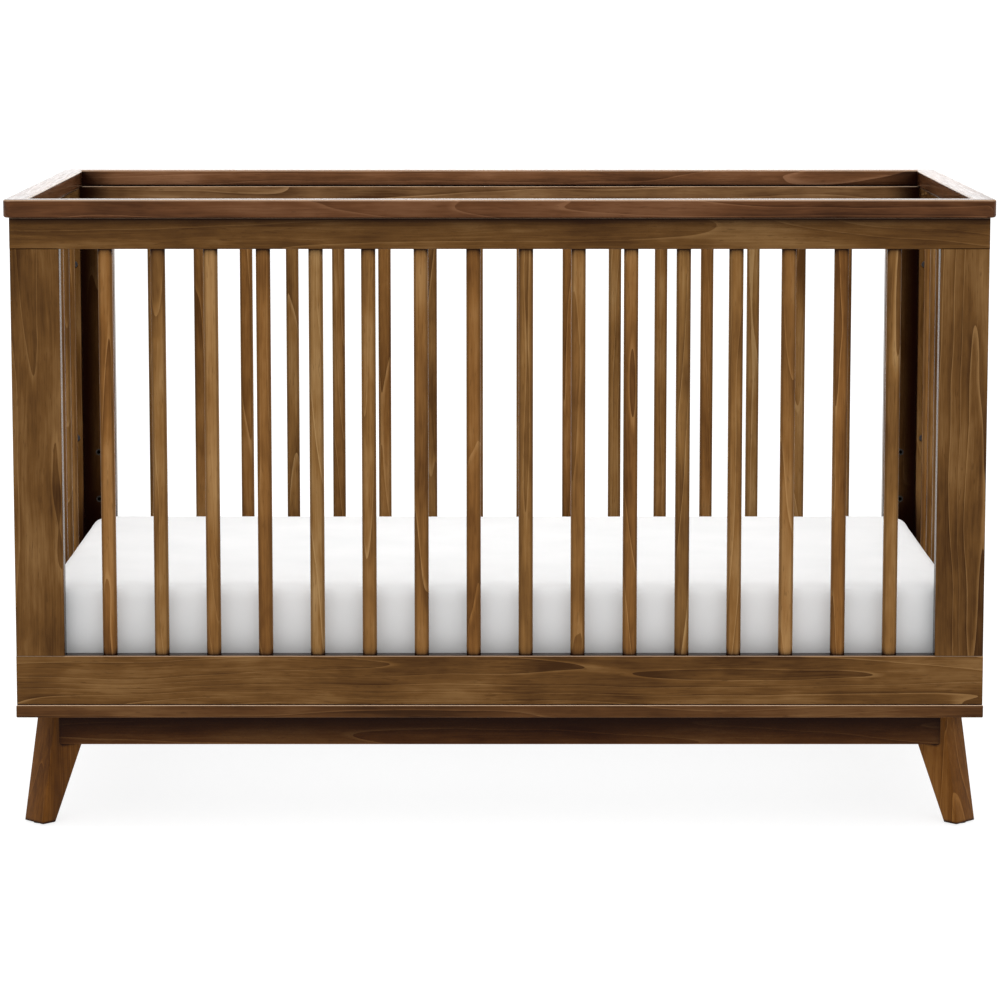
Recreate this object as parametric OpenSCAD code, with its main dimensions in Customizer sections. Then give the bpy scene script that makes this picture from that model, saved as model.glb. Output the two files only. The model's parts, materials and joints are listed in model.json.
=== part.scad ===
/* [Overall] */
// Length over the top caps
crib_length = 1369; // [1150:1:1650]
// Depth over the top caps
crib_depth = 760; // [630:1:912]
// Height from the floor to the top of the caps
crib_height = 886; // [735:1:1065]
// Height of the legs, from the floor to the underside of the base frame
leg_height = 160; // [130:1:200]

/* [Top caps] */
// Width of a cap board
cap_width = 30; // [26:0.5:40]
// Thickness of a cap board
cap_thickness = 25; // [21:0.5:32]
// How far the caps stand out past the panels
cap_overhang = 8.5; // [4:0.5:10]
// Radius of the outer corners of the cap frame, seen from above
cap_corner_radius = 16; // [6:0.5:24]

/* [Panels] */
// Thickness of the front and back panels
panel_thickness = 24; // [20:0.5:30]
// Thickness of the end panels
end_thickness = 19; // [16:0.5:24]
// Width of a stile in the front and back panels
stile_width = 68; // [56:1:90]
// Width of a stile in the end panels
end_stile_width = 30; // [27:0.5:45]
// Height of the upper rails
upper_rail_height = 43.5; // [40:0.5:70]
// Height of the lower rails
lower_rail_height = 70; // [58:1:100]
// Radius of the eased edges on every board
arris_radius = 2; // [0.5:0.1:3]

/* [Slats] */
// Width of a slat
slat_width = 20; // [16:0.5:26]
// Thickness of a slat
slat_thickness = 17; // [13:0.5:18]
// Radius of a slat's rounded edges
slat_edge_radius = 6; // [2:0.5:6]
// Largest gap allowed between two slats
largest_slat_gap = 54; // [40:1:60]
// Width of the tenon on a slat's end
tenon_width = 14; // [10:0.5:15]
// Thickness of the tenon on a slat's end
tenon_thickness = 9; // [6:0.5:10]
// Length of the tenon on a slat's end
tenon_length = 12; // [8:0.5:16]

/* [Base frame] */
// Thickness of the boards of the base frame
base_thickness = 18; // [15:0.5:25]
// Width of the boards of the base frame
base_width = 95; // [80:1:120]
// How far the base frame stands out past the panels
base_proud = 1; // [0:0.5:4]
// Height of the aprons under the base frame
apron_height = 48; // [36:1:60]
// Thickness of the aprons
apron_thickness = 20; // [14:0.5:26]
// Distance from the base frame's long edge in to the apron
apron_setback_long = 46.5; // [44:0.5:50]
// Distance from the base frame's short edge in to the apron
apron_setback_end = 27; // [25:0.5:30]

/* [Legs] */
// Width of a leg, across the corner
leg_width = 42.5; // [38:0.5:52]
// Thickness of a leg at the floor
leg_foot = 23; // [20:0.5:35]
// Lean of a leg's outer face
leg_outer_angle = 10; // [4:0.5:12]
// Lean of a leg's inner face
leg_inner_angle = 25; // [20:0.5:30]
// Distance from the base frame's end to the middle of a foot's outer edge
foot_inset_end = 16.5; // [14:0.5:20]
// Distance from the base frame's side to the middle of a foot's outer edge
foot_inset_side = 39; // [36:0.5:42]
// Radius of the glide under each foot
glide_radius = 9; // [6:0.5:10]
// Thickness of the glide under each foot
glide_thickness = 1.5; // [1:0.1:4]

/* [Fasteners] */
// Radius of the wooden dowels
dowel_radius = 4; // [3:0.5:4]
// Length of the dowels that join stiles, rails and caps
dowel_length = 30; // [24:1:36]
// Radius of the frame bolts' shanks
bolt_radius = 3; // [2.5:0.5:3]
// Radius of the frame bolts' heads
bolt_head_radius = 5; // [4.5:0.5:5]
// Height of the frame bolts' heads
bolt_head_height = 5; // [4:0.5:6]
// Outer radius of the threaded inserts
insert_radius = 5; // [4.5:0.1:5]
// Length of the threaded inserts
insert_length = 15; // [12:0.5:16]
// Radius of the leg bolts' shanks
leg_bolt_radius = 4; // [3:0.5:4]
// Distance between the two bolts of a leg
leg_bolt_spacing = 20; // [18:0.5:22]
// Radius of the apron screws' shanks
screw_radius = 2.2; // [1.5:0.1:2.5]

/* [Mattress support] */
// Width of the support's steel tubes
tube_width = 20; // [16:0.5:24]
// Height of the support's steel tubes
tube_height = 12; // [12:0.5:20]
// Wall of the support's steel tubes
tube_wall = 1.5; // [1:0.1:2]
// Radius of the deck's wires
wire_radius = 2; // [1.5:0.1:2]
// Largest distance between two wires of the deck
wire_spacing = 110; // [80:1:130]
// Radius of the deck's end springs
spring_radius = 5; // [4:0.5:5]
// Length of the deck's end springs
spring_length = 36; // [24:1:50]
// Distance between two height settings
height_step = 75; // [60:1:90]
// Number of height settings
height_settings = 4; // [2:1:4]

/* [Mattress] */
// Thickness of the mattress
mattress_height = 155; // [100:1:160]
// Radius of the mattress's corners, seen from above
mattress_corner_radius = 45; // [45:1:90]
// Gap between the mattress and each end panel
mattress_end_gap = 6; // [2:0.5:12]
// Gap between the mattress and the front and back panels
mattress_side_gap = 3.5; // [3.5:0.5:10]

/* [Hidden] */
$fn = 48;

// Clearances and small allowances
dowel_fit = 0.05;
thread_fit = 0.05;
insert_fit = 0.05;
tenon_fit = 0.1;
bolt_fit = 0.3;
head_fit = 1;
blind_end = 1;
rest_gap = 0.3;
wire_gap = 0.1;
support_head_gap = 0.2;
cut = 1;

// Colours
walnut = [0.41, 0.28, 0.16];
walnut_light = [0.50, 0.35, 0.20];
walnut_dark = [0.28, 0.17, 0.10];
beech = [0.80, 0.66, 0.46];
steel = [0.62, 0.63, 0.65];
dark_steel = [0.30, 0.30, 0.31];
grey_paint = [0.55, 0.56, 0.58];
grey_felt = [0.35, 0.34, 0.33];
white_cloth = [0.94, 0.94, 0.94];

// Outer faces of the panels, and the middle planes of the panels
panel_length = crib_length - 2 * cap_overhang;
panel_depth = crib_depth - 2 * cap_overhang;
panel_y = (panel_depth - panel_thickness) / 2;
end_x = (panel_length - end_thickness) / 2;

// The space inside the crib
inner_length = panel_length - 2 * end_thickness;
inner_depth = panel_depth - 2 * panel_thickness;

// Levels, from the floor up
panel_bottom = leg_height + base_thickness;
lower_rail_top = panel_bottom + lower_rail_height;
cap_bottom = crib_height - cap_thickness;
upper_rail_bottom = cap_bottom - upper_rail_height;
stile_length = upper_rail_bottom - lower_rail_top;
panel_height = cap_bottom - panel_bottom;

// Corner radius of a tenon, as a share of its thickness
tenon_roundness = 0.4;

// Openings that the slats fill
stile_x = (panel_length - stile_width) / 2;
front_opening = panel_length - 2 * stile_width;
end_opening = inner_depth - 2 * end_stile_width;
end_stile_y = (inner_depth - end_stile_width) / 2;

// Dowels
stile_dowel_offset = stile_width / 4;
end_dowel_offset = upper_rail_height / 4;
end_lower_dowel_depths = [38, 12];
end_lower_dowel_levels = [for (depth = end_lower_dowel_depths) lower_rail_top - depth];
end_upper_dowel_levels = [cap_bottom - upper_rail_height / 2 - end_dowel_offset,
                          cap_bottom - upper_rail_height / 2 + end_dowel_offset];
cap_dowel_inset = 8;
cap_dowel_span = front_opening / 2 - cap_dowel_inset;
cap_dowel_x = [-cap_dowel_span, -cap_dowel_span / 2, 0, cap_dowel_span / 2, cap_dowel_span];
cap_dowel_y = [-end_opening / 3, 0, end_opening / 3];

// Corner bolts: one in the lower rail, two in the stiles
counterbore_depth = 10;
corner_bolt_rise = 14;
corner_bolt_drop = 77.5;
corner_bolt_low = panel_bottom + corner_bolt_rise;
corner_bolt_high = upper_rail_bottom - corner_bolt_drop;
corner_bolt_levels = [corner_bolt_low, (corner_bolt_low + corner_bolt_high) / 2, corner_bolt_high];
corner_bolt_seat = inner_depth / 2 - end_stile_width + counterbore_depth;
insert_spare = 2;
thread_engagement = insert_length - insert_spare;

// Base bolts, from below the base frame up into the lower rails
base_counterbore = bolt_head_height + 1;
base_bolt_inset = 76;
base_bolt_span = panel_length / 2 - base_bolt_inset;
base_bolt_x = [-base_bolt_span, -base_bolt_span / 3, base_bolt_span / 3, base_bolt_span];
base_bolt_y = [-end_opening / 4, end_opening / 4];

// Base frame and aprons
base_length = panel_length + 2 * base_proud;
base_depth = panel_depth + 2 * base_proud;
apron_y = base_depth / 2 - apron_setback_long - apron_thickness / 2;
apron_x = base_length / 2 - apron_setback_end - apron_thickness / 2;
apron_middle = leg_height - apron_height / 2;
screw_head_radius = 4;
screw_head_height = 2.5;
screw_length = base_thickness + apron_height / 2;
screw_end_inset = 73;

// Legs: a tapered board across each corner
foot_x = base_length / 2 - foot_inset_end;
foot_y = base_depth / 2 - foot_inset_side;
leg_bolt_head_radius = 7.5;
leg_bolt_head_height = 5.5;
leg_counterbore = 6;
leg_insert_radius = 6;
leg_insert_length = 20;
leg_bolt_setback = 14;
leg_side_shift = leg_width / sqrt(2);
leg_turn = 225;

// Mattress support
support_end_gap = 5;
support_side_gap = 9.5;
support_length = inner_length - 2 * support_end_gap;
support_depth = inner_depth - 2 * support_side_gap;
long_tube_y = (support_depth - tube_width) / 2;
end_tube_x = (support_length - tube_width) / 2;
deck_length = support_length - 2 * tube_width;
deck_depth = support_depth - 2 * tube_width;
crossbar_height = 3;
crossbar_gap = 0.4;
crossbar_x = [-deck_length / 4, 0, deck_length / 4];
long_wire_level = panel_bottom + crossbar_height + wire_radius + crossbar_gap;
cross_wire_level = long_wire_level + 2 * wire_radius + wire_gap;
spring_level = panel_bottom + tube_height / 2;

// Support bolts and hanger brackets
support_bolt_inset = 22;
support_bolt_rise = 37;
support_bolt_x = inner_length / 2 - support_bolt_inset;
support_bolt_low = panel_bottom + support_bolt_rise;
support_bolt_levels = [for (setting = [0 : height_settings - 1]) support_bolt_low + setting * height_step];
support_head_radius = 6;
support_head_height = 3.3;
bracket_thickness = 2.5;
bracket_width = 40;
bracket_height = 47;
bracket_foot_width = 10;
bracket_foot_height = 3;
bracket_y = inner_depth / 2 - rest_gap - bracket_thickness / 2;
support_bolt_seat = inner_depth / 2 - rest_gap - bracket_thickness - support_head_gap;

// Mattress
mattress_length = inner_length - 2 * mattress_end_gap;
mattress_depth = inner_depth - 2 * mattress_side_gap;
mattress_bottom = panel_bottom + tube_height + rest_gap;

// Middles of the slats that fill an opening with equal gaps
function slat_count(opening) = ceil((opening - largest_slat_gap) / (slat_width + largest_slat_gap));
function slat_gap(opening) = (opening - slat_count(opening) * slat_width) / (slat_count(opening) + 1);
function slat_places(opening) =
    [for (place = [1 : slat_count(opening)])
        place * (slat_gap(opening) + slat_width) - slat_width / 2 - opening / 2];

// Places of wires at equal distances across a span, with half a distance at each side
function wire_count(span) = ceil(span / wire_spacing);
function wire_places(span) =
    [for (place = [0.5 : wire_count(span)]) place * span / wire_count(span) - span / 2];

// Distance of a leg's faces from its foot's outer edge, at a height
function leg_outer(height) = height * tan(leg_outer_angle);
function leg_inner(height) = leg_foot + height * tan(leg_inner_angle);

// Half the length of an apron's outer face, which ends where it meets the sides of the legs
apron_half_x = apron_y + apron_thickness / 2 + foot_x - foot_y - leg_side_shift;
apron_half_y = apron_x + apron_thickness / 2 - foot_x + foot_y - leg_side_shift;

// A rectangle with true round corners, centred on the origin
module eased_rectangle(width, height, radius) {
    square([width - 2 * radius, height], center = true);
    square([width, height - 2 * radius], center = true);
    for (side = [-1, 1], end = [-1, 1])
        translate([side * (width / 2 - radius), end * (height / 2 - radius)])
            circle(r = radius);
}

// Boards with eased edges, centred on the origin and running along one axis
module board_along_x(length, depth, height) {
    rotate([90, 0, 90])
        linear_extrude(length, center = true)
            eased_rectangle(depth, height, arris_radius);
}

module board_along_y(length, width, height) {
    rotate([90, 0, 0])
        linear_extrude(length, center = true)
            eased_rectangle(width, height, arris_radius);
}

module board_along_z(length, width, depth) {
    linear_extrude(length, center = true)
        eased_rectangle(width, depth, arris_radius);
}

// Round holes and pins, centred on the origin
module pin_along_y(radius, length) {
    rotate([90, 0, 0])
        cylinder(r = radius, h = length, center = true);
}

module pin_along_z(radius, length) {
    cylinder(r = radius, h = length, center = true);
}

// Mirror copies
module both_ends() {
    children();
    mirror([1, 0, 0]) children();
}

module both_sides() {
    children();
    mirror([0, 1, 0]) children();
}

module four_corners() {
    both_ends() both_sides() children();
}

// A hex socket bolt: the head is below the origin and the shank is above it
module socket_bolt(shank_radius, shank_length, head_radius, head_height) {
    difference() {
        union() {
            translate([0, 0, -head_height])
                cylinder(r = head_radius, h = head_height);
            cylinder(r = shank_radius, h = shank_length);
        }
        translate([0, 0, -head_height - cut])
            cylinder(r = head_radius / 2, h = head_height / 2 + cut, $fn = 6);
    }
}

// A threaded insert that starts at the origin and goes up
module threaded_insert(outer_radius, shank_radius, length) {
    difference() {
        cylinder(r = outer_radius, h = length);
        translate([0, 0, -cut])
            cylinder(r = shank_radius + thread_fit, h = length + 2 * cut);
    }
}

// The blind hole for an insert, from just below the origin up
module insert_hole(outer_radius, length) {
    translate([0, 0, -cut])
        cylinder(r = outer_radius + insert_fit, h = length + blind_end + cut);
}

// Slats
module tenon_outline(fit) {
    eased_rectangle(tenon_width + 2 * fit, tenon_thickness + 2 * fit, tenon_thickness * tenon_roundness);
}

module slat() {
    translate([0, 0, lower_rail_top])
        linear_extrude(stile_length)
            eased_rectangle(slat_width, slat_thickness, slat_edge_radius);
    translate([0, 0, lower_rail_top - tenon_length])
        linear_extrude(stile_length + 2 * tenon_length)
            tenon_outline(0);
}

module slat_mortises() {
    mortise_depth = tenon_length + blind_end;
    for (level = [lower_rail_top - mortise_depth, upper_rail_bottom - cut])
        translate([0, 0, level])
            linear_extrude(mortise_depth + cut)
                tenon_outline(tenon_fit);
}

module long_slats() {
    for (place = slat_places(front_opening))
        translate([place, panel_y, 0]) slat();
}

module end_slats() {
    for (place = slat_places(end_opening))
        translate([end_x, place, 0]) rotate([0, 0, 90]) slat();
}

module long_mortises() {
    for (place = slat_places(front_opening))
        translate([place, panel_y, 0]) slat_mortises();
}

module end_mortises() {
    for (place = slat_places(end_opening))
        translate([end_x, place, 0]) rotate([0, 0, 90]) slat_mortises();
}

// Dowels that hold the back panel's stiles to its rails, or their holes
module stile_dowels(fit, extra) {
    for (level = [lower_rail_top, upper_rail_bottom], offset = [-stile_dowel_offset, stile_dowel_offset])
        translate([stile_x + offset, panel_y, level])
            pin_along_z(dowel_radius + fit, dowel_length + extra);
}

// Dowels that hold the right end panel's rails to its back stile, or their holes
module end_rail_dowels(fit, extra) {
    for (level = concat(end_lower_dowel_levels, end_upper_dowel_levels))
        translate([end_x, end_opening / 2, level])
            pin_along_y(dowel_radius + fit, dowel_length + extra);
}

// Dowels between the caps and the upper rails, or their holes
module long_cap_dowels(fit, extra) {
    for (place = cap_dowel_x)
        translate([place, panel_y, cap_bottom])
            pin_along_z(dowel_radius + fit, dowel_length + extra);
}

module end_cap_dowels(fit, extra) {
    for (place = cap_dowel_y)
        translate([end_x, place, cap_bottom])
            pin_along_z(dowel_radius + fit, dowel_length + extra);
}

// Holes for the inserts in the back panel's inner face, at its right end
module back_insert_holes() {
    for (level = corner_bolt_levels)
        translate([end_x, inner_depth / 2, level])
            rotate([-90, 0, 0]) insert_hole(insert_radius, insert_length);
    for (level = support_bolt_levels)
        translate([support_bolt_x, inner_depth / 2, level])
            rotate([-90, 0, 0]) insert_hole(insert_radius, insert_length);
}

// Back panel, at +Y; the front panel is its mirror image
module long_upper_rail() {
    difference() {
        translate([0, panel_y, cap_bottom - upper_rail_height / 2])
            board_along_x(panel_length, panel_thickness, upper_rail_height);
        long_mortises();
        both_ends() stile_dowels(dowel_fit, 2 * blind_end);
        long_cap_dowels(dowel_fit, 2 * blind_end);
    }
}

module long_lower_rail() {
    difference() {
        translate([0, panel_y, panel_bottom + lower_rail_height / 2])
            board_along_x(panel_length, panel_thickness, lower_rail_height);
        long_mortises();
        both_ends() stile_dowels(dowel_fit, 2 * blind_end);
        both_ends() back_insert_holes();
        for (place = base_bolt_x)
            translate([place, panel_y, panel_bottom]) insert_hole(insert_radius, insert_length);
    }
}

module long_stile() {
    difference() {
        translate([stile_x, panel_y, lower_rail_top + stile_length / 2])
            board_along_z(stile_length, stile_width, panel_thickness);
        stile_dowels(dowel_fit, 2 * blind_end);
        back_insert_holes();
    }
}

// Right end panel, at +X; the left end panel is its mirror image
module end_upper_rail() {
    difference() {
        translate([end_x, 0, cap_bottom - upper_rail_height / 2])
            board_along_y(end_opening, end_thickness, upper_rail_height);
        end_mortises();
        both_sides() end_rail_dowels(dowel_fit, 2 * blind_end);
        end_cap_dowels(dowel_fit, 2 * blind_end);
    }
}

module end_lower_rail() {
    difference() {
        translate([end_x, 0, panel_bottom + lower_rail_height / 2])
            board_along_y(end_opening, end_thickness, lower_rail_height);
        end_mortises();
        both_sides() end_rail_dowels(dowel_fit, 2 * blind_end);
        for (place = base_bolt_y)
            translate([end_x, place, panel_bottom]) insert_hole(insert_radius, insert_length);
    }
}

module end_stile() {
    difference() {
        translate([end_x, end_stile_y, panel_bottom + panel_height / 2])
            board_along_z(panel_height, end_thickness, end_stile_width);
        end_rail_dowels(dowel_fit, 2 * blind_end);
        for (level = corner_bolt_levels) {
            translate([end_x, end_stile_y, level])
                pin_along_y(bolt_radius + bolt_fit, end_stile_width + 2 * cut);
            translate([end_x, corner_bolt_seat - (counterbore_depth + cut) / 2, level])
                pin_along_y(bolt_head_radius + head_fit, counterbore_depth + cut);
        }
    }
}

// The part of a mitred frame that runs along X at +Y, or along Y at +X
module mitre_along_x(length, depth, width, height) {
    linear_extrude(height)
        polygon([[-length / 2 - cut, depth / 2 + cut],
                 [length / 2 + cut, depth / 2 + cut],
                 [length / 2 - width - cut, depth / 2 - width - cut],
                 [-length / 2 + width + cut, depth / 2 - width - cut]]);
}

module mitre_along_y(length, depth, width, height) {
    linear_extrude(height)
        polygon([[length / 2 + cut, -depth / 2 - cut],
                 [length / 2 + cut, depth / 2 + cut],
                 [length / 2 - width - cut, depth / 2 - width - cut],
                 [length / 2 - width - cut, -depth / 2 + width + cut]]);
}

// Caps
module cap_outline() {
    translate([0, 0, cap_bottom - cut])
        linear_extrude(cap_thickness + 2 * cut)
            eased_rectangle(crib_length, crib_depth, cap_corner_radius);
}

module long_cap() {
    difference() {
        intersection() {
            translate([0, (crib_depth - cap_width) / 2, cap_bottom + cap_thickness / 2])
                board_along_x(crib_length, cap_width, cap_thickness);
            translate([0, 0, cap_bottom - cut])
                mitre_along_x(crib_length, crib_depth, cap_width, cap_thickness + 2 * cut);
            cap_outline();
        }
        long_cap_dowels(dowel_fit, 2 * blind_end);
    }
}

module end_cap() {
    difference() {
        intersection() {
            translate([(crib_length - cap_width) / 2, 0, cap_bottom + cap_thickness / 2])
                board_along_y(crib_depth, cap_width, cap_thickness);
            translate([0, 0, cap_bottom - cut])
                mitre_along_y(crib_length, crib_depth, cap_width, cap_thickness + 2 * cut);
            cap_outline();
        }
        end_cap_dowels(dowel_fit, 2 * blind_end);
    }
}

// Base frame
module base_bolt_hole() {
    translate([0, 0, leg_height - cut])
        cylinder(r = bolt_radius + bolt_fit, h = base_thickness + 2 * cut);
    translate([0, 0, leg_height - cut])
        cylinder(r = bolt_head_radius + head_fit, h = base_counterbore + cut);
}

module leg_bolt_hole() {
    translate([0, 0, leg_height - cut])
        cylinder(r = leg_bolt_radius + bolt_fit, h = base_thickness + 2 * cut);
    translate([0, 0, panel_bottom - leg_counterbore])
        cylinder(r = leg_bolt_head_radius + head_fit / 2, h = leg_counterbore + cut);
}

module apron_screw_hole() {
    translate([0, 0, leg_height - cut])
        cylinder(r = screw_radius + bolt_fit, h = base_thickness + 2 * cut);
    translate([0, 0, panel_bottom - screw_head_height - bolt_fit])
        cylinder(r = screw_head_radius + bolt_fit, h = screw_head_height + bolt_fit + cut);
}

module at_long_apron_screws() {
    span = apron_half_x - screw_end_inset;
    for (place = [-span, -span / 2, 0, span / 2, span])
        translate([place, apron_y, 0]) children();
}

module at_end_apron_screws() {
    span = apron_half_y - screw_end_inset;
    for (place = [-span, 0, span])
        translate([apron_x, place, 0]) children();
}

module at_leg_bolts() {
    for (step = [0, 1])
        translate([foot_x, foot_y, 0])
            rotate([0, 0, leg_turn])
                translate([leg_outer(leg_height) + leg_bolt_setback + step * leg_bolt_spacing, 0, 0])
                    children();
}

module long_base_board() {
    difference() {
        intersection() {
            translate([0, (base_depth - base_width) / 2, leg_height + base_thickness / 2])
                board_along_x(base_length, base_width, base_thickness);
            translate([0, 0, leg_height - cut])
                mitre_along_x(base_length, base_depth, base_width, base_thickness + 2 * cut);
        }
        for (place = base_bolt_x)
            translate([place, panel_y, 0]) base_bolt_hole();
        at_long_apron_screws() apron_screw_hole();
    }
}

module end_base_board() {
    difference() {
        intersection() {
            translate([(base_length - base_width) / 2, 0, leg_height + base_thickness / 2])
                board_along_y(base_depth, base_width, base_thickness);
            translate([0, 0, leg_height - cut])
                mitre_along_y(base_length, base_depth, base_width, base_thickness + 2 * cut);
        }
        for (place = base_bolt_y)
            translate([end_x, place, 0]) base_bolt_hole();
        at_end_apron_screws() apron_screw_hole();
        both_sides() at_leg_bolts() leg_bolt_hole();
    }
}

// Aprons: their ends are cut at 45 degrees along the sides of the legs
module long_apron() {
    half_outer = apron_half_x;
    half_inner = half_outer - apron_thickness;
    outer_y = apron_y + apron_thickness / 2;
    difference() {
        intersection() {
            translate([0, apron_y, apron_middle])
                board_along_x(2 * half_outer, apron_thickness, apron_height);
            translate([0, 0, leg_height - apron_height - cut])
                linear_extrude(apron_height + 2 * cut)
                    polygon([[-half_outer - cut, outer_y + cut],
                             [half_outer + cut, outer_y + cut],
                             [half_inner - cut, outer_y - apron_thickness - cut],
                             [-half_inner + cut, outer_y - apron_thickness - cut]]);
        }
        at_long_apron_screws() apron_screw_pilot();
    }
}

module end_apron() {
    half_outer = apron_half_y;
    half_inner = half_outer - apron_thickness;
    outer_x = apron_x + apron_thickness / 2;
    difference() {
        intersection() {
            translate([apron_x, 0, apron_middle])
                board_along_y(2 * half_outer, apron_thickness, apron_height);
            translate([0, 0, leg_height - apron_height - cut])
                linear_extrude(apron_height + 2 * cut)
                    polygon([[outer_x + cut, -half_outer - cut],
                             [outer_x + cut, half_outer + cut],
                             [outer_x - apron_thickness - cut, half_inner - cut],
                             [outer_x - apron_thickness - cut, -half_inner + cut]]);
        }
        at_end_apron_screws() apron_screw_pilot();
    }
}

module apron_screw_pilot() {
    translate([0, 0, panel_bottom - screw_length - blind_end])
        cylinder(r = screw_radius + thread_fit, h = screw_length + blind_end);
}

// Back right leg
module leg() {
    difference() {
        translate([foot_x, foot_y, 0])
            rotate([0, 0, leg_turn])
                rotate([90, 0, 0])
                    linear_extrude(leg_width, center = true)
                        polygon([[leg_outer(glide_thickness), glide_thickness],
                                 [leg_inner(glide_thickness), glide_thickness],
                                 [leg_inner(leg_height), leg_height],
                                 [leg_outer(leg_height), leg_height]]);
        at_leg_bolts()
            translate([0, 0, leg_height])
                mirror([0, 0, 1]) insert_hole(leg_insert_radius, leg_insert_length);
    }
}

module glide() {
    translate([foot_x, foot_y, 0])
        rotate([0, 0, leg_turn])
            translate([leg_foot / 2, 0, 0])
                cylinder(r = glide_radius, h = glide_thickness);
}

// Fasteners of the wooden frame
module corner_bolt_set() {
    for (level = corner_bolt_levels)
        translate([end_x, corner_bolt_seat, level])
            rotate([-90, 0, 0])
                socket_bolt(bolt_radius, end_stile_width - counterbore_depth + thread_engagement,
                            bolt_head_radius, bolt_head_height);
}

module corner_insert_set() {
    for (level = corner_bolt_levels)
        translate([end_x, inner_depth / 2, level])
            rotate([-90, 0, 0]) threaded_insert(insert_radius, bolt_radius, insert_length);
}

module base_bolt() {
    translate([0, 0, leg_height + base_counterbore])
        socket_bolt(bolt_radius, base_thickness - base_counterbore + thread_engagement,
                    bolt_head_radius, bolt_head_height);
}

module base_insert() {
    translate([0, 0, panel_bottom]) threaded_insert(insert_radius, bolt_radius, insert_length);
}

module at_base_bolts() {
    both_sides()
        for (place = base_bolt_x)
            translate([place, panel_y, 0]) children();
    both_ends()
        for (place = base_bolt_y)
            translate([end_x, place, 0]) children();
}

module leg_bolt() {
    translate([0, 0, panel_bottom - leg_counterbore])
        mirror([0, 0, 1])
            socket_bolt(leg_bolt_radius, base_thickness - leg_counterbore + leg_insert_length - insert_spare,
                        leg_bolt_head_radius, leg_bolt_head_height);
}

module leg_insert() {
    translate([0, 0, leg_height])
        mirror([0, 0, 1]) threaded_insert(leg_insert_radius, leg_bolt_radius, leg_insert_length);
}

module apron_screw() {
    translate([0, 0, panel_bottom - screw_length])
        cylinder(r = screw_radius, h = screw_length - cut);
    translate([0, 0, panel_bottom - screw_head_height])
        cylinder(r = screw_head_radius, h = screw_head_height);
}

module support_bolt() {
    translate([support_bolt_x, support_bolt_seat, support_bolt_low])
        rotate([-90, 0, 0])
            socket_bolt(bolt_radius, inner_depth / 2 - support_bolt_seat + thread_engagement,
                        support_head_radius, support_head_height);
}

module support_insert_set() {
    for (level = support_bolt_levels)
        translate([support_bolt_x, inner_depth / 2, level])
            rotate([-90, 0, 0]) threaded_insert(insert_radius, bolt_radius, insert_length);
}

// Mattress support
module tube_outline() {
    difference() {
        square([tube_width, tube_height], center = true);
        square([tube_width - 2 * tube_wall, tube_height - 2 * tube_wall], center = true);
    }
}

module long_tube() {
    translate([0, long_tube_y, panel_bottom + tube_height / 2])
        rotate([90, 0, 90])
            linear_extrude(support_length, center = true) tube_outline();
}

module end_tube() {
    translate([end_tube_x, 0, panel_bottom + tube_height / 2])
        rotate([90, 0, 0])
            linear_extrude(deck_depth, center = true) tube_outline();
}

module crossbars() {
    for (place = crossbar_x)
        translate([place - tube_width / 2, -deck_depth / 2, panel_bottom])
            cube([tube_width, deck_depth, crossbar_height]);
}

// A bracket on the back tube: its slot is open below, so the support lifts off its bolts
module hanger_bracket() {
    slot = 2 * (bolt_radius + bolt_fit);
    foot_reach = inner_depth / 2 - rest_gap - support_depth / 2;
    difference() {
        translate([support_bolt_x, bracket_y, panel_bottom + bracket_height / 2])
            cube([bracket_width, bracket_thickness, bracket_height], center = true);
        translate([support_bolt_x - slot / 2, bracket_y - bracket_thickness, panel_bottom - cut])
            cube([slot, 2 * bracket_thickness, support_bolt_low - panel_bottom + cut]);
        translate([support_bolt_x, bracket_y, support_bolt_low])
            pin_along_y(slot / 2, 2 * bracket_thickness);
    }
    for (side = [0, 1])
        translate([support_bolt_x - bracket_width / 2 + side * (bracket_width - bracket_foot_width),
                   support_depth / 2, panel_bottom])
            cube([bracket_foot_width, foot_reach, bracket_foot_height]);
}

module long_wires() {
    for (place = wire_places(deck_depth))
        translate([0, place, long_wire_level])
            rotate([0, 90, 0])
                cylinder(r = wire_radius, h = deck_length - 2 * spring_length, center = true);
}

module cross_wires() {
    for (place = wire_places(deck_length - 2 * spring_length))
        translate([place, 0, cross_wire_level])
            rotate([90, 0, 0])
                cylinder(r = wire_radius, h = deck_depth, center = true);
}

module end_springs() {
    for (place = wire_places(deck_depth))
        translate([deck_length / 2 - spring_length, place, spring_level])
            rotate([0, 90, 0])
                cylinder(r = spring_radius, h = spring_length);
}

module mattress_block() {
    translate([0, 0, mattress_bottom])
        linear_extrude(mattress_height)
            eased_rectangle(mattress_length, mattress_depth, mattress_corner_radius);
}

// Front panel
module front_upper_rail() { color(walnut) mirror([0, 1, 0]) long_upper_rail(); }
module front_lower_rail() { color(walnut) mirror([0, 1, 0]) long_lower_rail(); }
module front_left_stile() { color(walnut) mirror([1, 0, 0]) mirror([0, 1, 0]) long_stile(); }
module front_right_stile() { color(walnut) mirror([0, 1, 0]) long_stile(); }
module front_slats() { color(walnut_light) mirror([0, 1, 0]) long_slats(); }

// Back panel
module back_upper_rail() { color(walnut) long_upper_rail(); }
module back_lower_rail() { color(walnut) long_lower_rail(); }
module back_left_stile() { color(walnut) mirror([1, 0, 0]) long_stile(); }
module back_right_stile() { color(walnut) long_stile(); }
module back_slats() { color(walnut_light) long_slats(); }

// Left end panel
module left_end_upper_rail() { color(walnut) mirror([1, 0, 0]) end_upper_rail(); }
module left_end_lower_rail() { color(walnut) mirror([1, 0, 0]) end_lower_rail(); }
module left_end_front_stile() { color(walnut) mirror([1, 0, 0]) mirror([0, 1, 0]) end_stile(); }
module left_end_back_stile() { color(walnut) mirror([1, 0, 0]) end_stile(); }
module left_end_slats() { color(walnut_light) mirror([1, 0, 0]) end_slats(); }

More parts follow.
